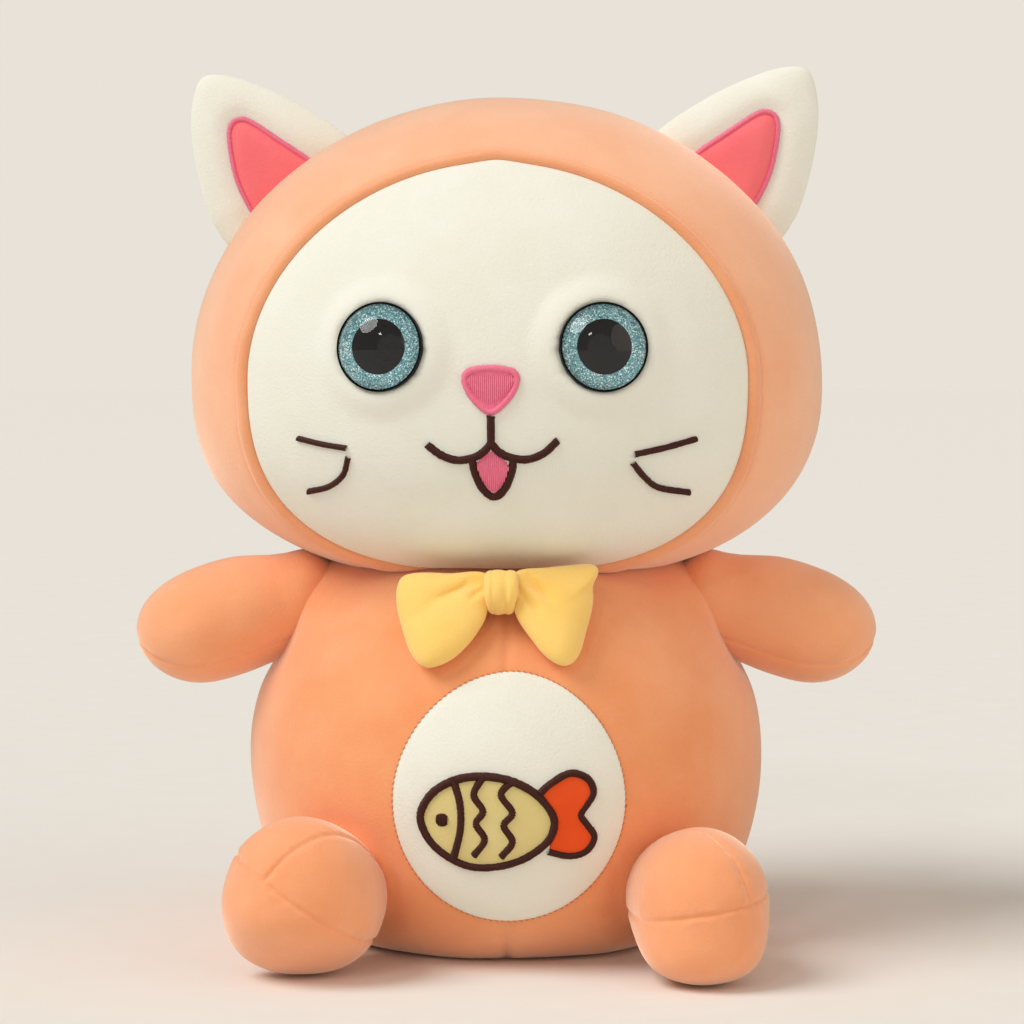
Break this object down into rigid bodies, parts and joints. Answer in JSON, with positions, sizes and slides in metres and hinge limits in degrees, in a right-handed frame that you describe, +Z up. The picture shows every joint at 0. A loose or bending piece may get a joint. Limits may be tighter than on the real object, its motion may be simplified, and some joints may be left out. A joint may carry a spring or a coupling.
{
  "type": "plush toy",
  "caption": "Seated plush cat in a peach hooded suit, with white face and belly patch, glitter eyes, stub arms and legs, fish applique and a yellow bow tie.",
  "frame": {"origin": "middle of the flat seat, on the surface that the toy sits on", "axes": "+Z up, -Y towards the front, +X towards the toy's own left"},
  "size_m": [0.3004, 0.2343, 0.3491],
  "materials": {
    "peach_velvet": "short-pile velvet",
    "white_velvet": "short-pile velvet",
    "yellow_velvet": "short-pile velvet",
    "pink_thread": "satin stitch",
    "brown_thread": "satin stitch",
    "fish_cream": "applique",
    "fish_orange": "applique",
    "stuffing": "fibre filling",
    "eye_clear": "clear gloss",
    "iris_foil": "glitter foil",
    "eye_black": "gloss",
    "washer_plastic": "moulded"
  },
  "bodies": {
    "torso": {"base_panel": "peach_velvet", "body_left_panel": "peach_velvet", "body_right_panel": "peach_velvet", "body_stuffing": "stuffing", "belly_patch": "white_velvet", "fish_body": "fish_cream", "fish_tail": "fish_orange", "fish_stitching": "brown_thread", "tail_stitching": "brown_thread", "fish_eye": "brown_thread", "bow_left_loop": "yellow_velvet", "bow_right_loop": "yellow_velvet", "bow_band": "yellow_velvet"},
    "head": {"hood": "peach_velvet", "hood_facing": "peach_velvet", "face_panel": "white_velvet", "head_stuffing": "stuffing", "nose": "pink_thread", "mouth": "brown_thread", "tongue": "pink_thread", "left_whisker_upper": "brown_thread", "left_whisker_lower": "brown_thread", "right_whisker_upper": "brown_thread", "right_whisker_lower": "brown_thread", "left_eye_back": "eye_black", "left_eye_iris": "iris_foil", "left_eye_pupil": "eye_black", "left_eye_lens": "eye_clear", "left_eye_washer": "washer_plastic", "right_eye_back": "eye_black", "right_eye_iris": "iris_foil", "right_eye_pupil": "eye_black", "right_eye_lens": "eye_clear", "right_eye_washer": "washer_plastic", "left_ear": "white_velvet", "left_ear_lining": "pink_thread", "right_ear": "white_velvet", "right_ear_lining": "pink_thread"},
    "left_arm": {"left_arm_upper": "peach_velvet", "left_arm_lower": "peach_velvet", "left_arm_stuffing": "stuffing"},
    "right_arm": {"right_arm_upper": "peach_velvet", "right_arm_lower": "peach_velvet", "right_arm_stuffing": "stuffing"},
    "left_leg": {"left_leg_inner": "peach_velvet", "left_leg_outer": "peach_velvet", "left_leg_sole": "peach_velvet", "left_leg_stuffing": "stuffing"},
    "right_leg": {"right_leg_inner": "peach_velvet", "right_leg_outer": "peach_velvet", "right_leg_sole": "peach_velvet", "right_leg_stuffing": "stuffing"}
  },
  "joints": [
    {"name": "head_turn", "type": "hinge", "parent": "torso", "child": "head", "pos_m": [0, 0, 0.15], "axis": [0, 0, 1], "range_deg": [-15, 15], "stiffness_Nm_per_rad": 0.8},
    {"name": "left_arm_raise", "type": "hinge", "parent": "torso", "child": "left_arm", "pos_m": [0.09034, -0.00949, 0.134], "axis": [-0.1045, -0.9945, 0], "range_deg": [0, 30], "stiffness_Nm_per_rad": 0.3},
    {"name": "right_arm_raise", "type": "hinge", "parent": "torso", "child": "right_arm", "pos_m": [-0.09034, -0.00949, 0.134], "axis": [-0.1045, 0.9945, 0], "range_deg": [0, 30], "stiffness_Nm_per_rad": 0.3},
    {"name": "left_leg_twist", "type": "hinge", "parent": "torso", "child": "left_leg", "pos_m": [0.06557, -0.07283, 0.029], "axis": [0.2588, -0.9659, 0], "range_deg": [-35, 35], "stiffness_Nm_per_rad": 0.15},
    {"name": "right_leg_twist", "type": "hinge", "parent": "torso", "child": "right_leg", "pos_m": [-0.06557, -0.07283, 0.029], "axis": [0.2588, 0.9659, 0], "range_deg": [-35, 35], "stiffness_Nm_per_rad": 0.15}
  ]
}
